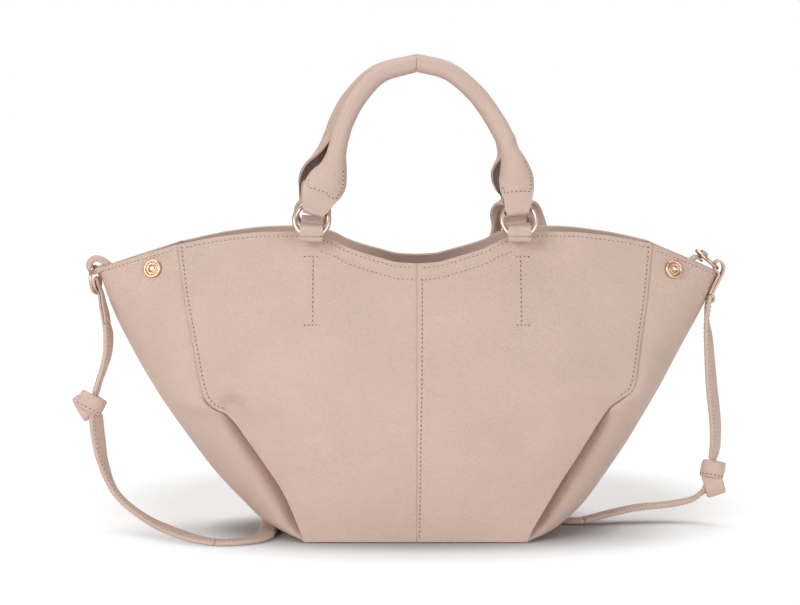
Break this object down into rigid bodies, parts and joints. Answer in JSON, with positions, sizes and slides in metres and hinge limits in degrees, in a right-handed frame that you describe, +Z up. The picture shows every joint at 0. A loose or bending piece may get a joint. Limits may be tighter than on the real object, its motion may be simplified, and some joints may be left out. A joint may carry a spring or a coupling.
{
  "type": "mini tote bag",
  "caption": "Small winged leather tote with two leaning tube handles on rings and a flat knotted shoulder strap.",
  "frame": {"origin": "middle of the underside of the base", "axes": "+Z up, out of the open top; +X to the right as seen from the front; -Y is the front"},
  "size_m": [0.4335, 0.1512, 0.3172],
  "materials": {
    "leather": "fine-grained, matt",
    "lining": "woven, matt",
    "metal": "polished, pale rose",
    "board": "plain stiff board",
    "core": "twisted cord"
  },
  "bodies": {
    "bag": {"back_facing": "leather", "back_handle_tab_left": "leather", "back_handle_tab_right": "leather", "back_lining": "lining", "back_panel_left": "leather", "back_panel_right": "leather", "base_board": "board", "base_lining": "lining", "base_panel": "leather", "front_facing": "leather", "front_handle_tab_left": "leather", "front_handle_tab_right": "leather", "front_lining": "lining", "front_panel_left": "leather", "front_panel_right": "leather", "gusset_facing_left": "leather", "gusset_facing_right": "leather", "gusset_left": "leather", "gusset_lining_left": "lining", "gusset_lining_right": "lining", "gusset_right": "leather", "press_cap_socket_left": "metal", "press_cap_socket_right": "metal", "press_cap_stud_left": "metal", "press_cap_stud_right": "metal", "press_socket_left": "metal", "press_socket_right": "metal", "press_stud_left": "metal", "press_stud_right": "metal", "strap_knot_left": "leather", "strap_knot_right": "leather", "strap_left_drop": "leather", "strap_middle": "leather", "strap_right_drop": "leather", "wing_tab_left": "leather", "wing_tab_right": "leather"},
    "front_rings": {"front_handle_ring_left": "metal", "front_handle_ring_right": "metal"},
    "front_handle": {"front_handle_left": "leather", "front_handle_right": "leather", "front_handle_core": "core"},
    "back_rings": {"back_handle_ring_left": "metal", "back_handle_ring_right": "metal"},
    "back_handle": {"back_handle_left": "leather", "back_handle_right": "leather", "back_handle_core": "core"},
    "left_wing_ring": {"wing_ring_left": "metal", "strap_end_left": "leather"},
    "right_wing_ring": {"wing_ring_right": "metal", "strap_end_right": "leather"}
  },
  "joints": [
    {"name": "front_rings_turn", "type": "hinge", "parent": "bag", "child": "front_rings", "pos_m": [0, -0.0491, 0.1995], "axis": [1, 0, 0], "range_deg": [0, 85]},
    {"name": "front_handle_turn", "type": "hinge", "parent": "front_rings", "child": "front_handle", "pos_m": [0, -0.04158, 0.22017], "axis": [1, 0, 0], "range_deg": [0, 30]},
    {"name": "back_rings_turn", "type": "hinge", "parent": "bag", "child": "back_rings", "pos_m": [0, 0.0491, 0.1995], "axis": [-1, 0, 0], "range_deg": [0, 60]},
    {"name": "back_handle_turn", "type": "hinge", "parent": "back_rings", "child": "back_handle", "pos_m": [0, 0.04158, 0.22017], "axis": [-1, 0, 0], "range_deg": [0, 30]},
    {"name": "left_wing_ring_swing", "type": "hinge", "parent": "bag", "child": "left_wing_ring", "pos_m": [-0.2162, 0, 0.1755], "axis": [0, 1, 0], "range_deg": [-7, 40], "deforming": ["strap_left_drop"]},
    {"name": "right_wing_ring_swing", "type": "hinge", "parent": "bag", "child": "right_wing_ring", "pos_m": [0.19063, 0.00827, 0.18525], "axis": [-0.7405, -0.342, 0.5785], "range_deg": [0, 25], "deforming": ["strap_right_drop"]}
  ]
}
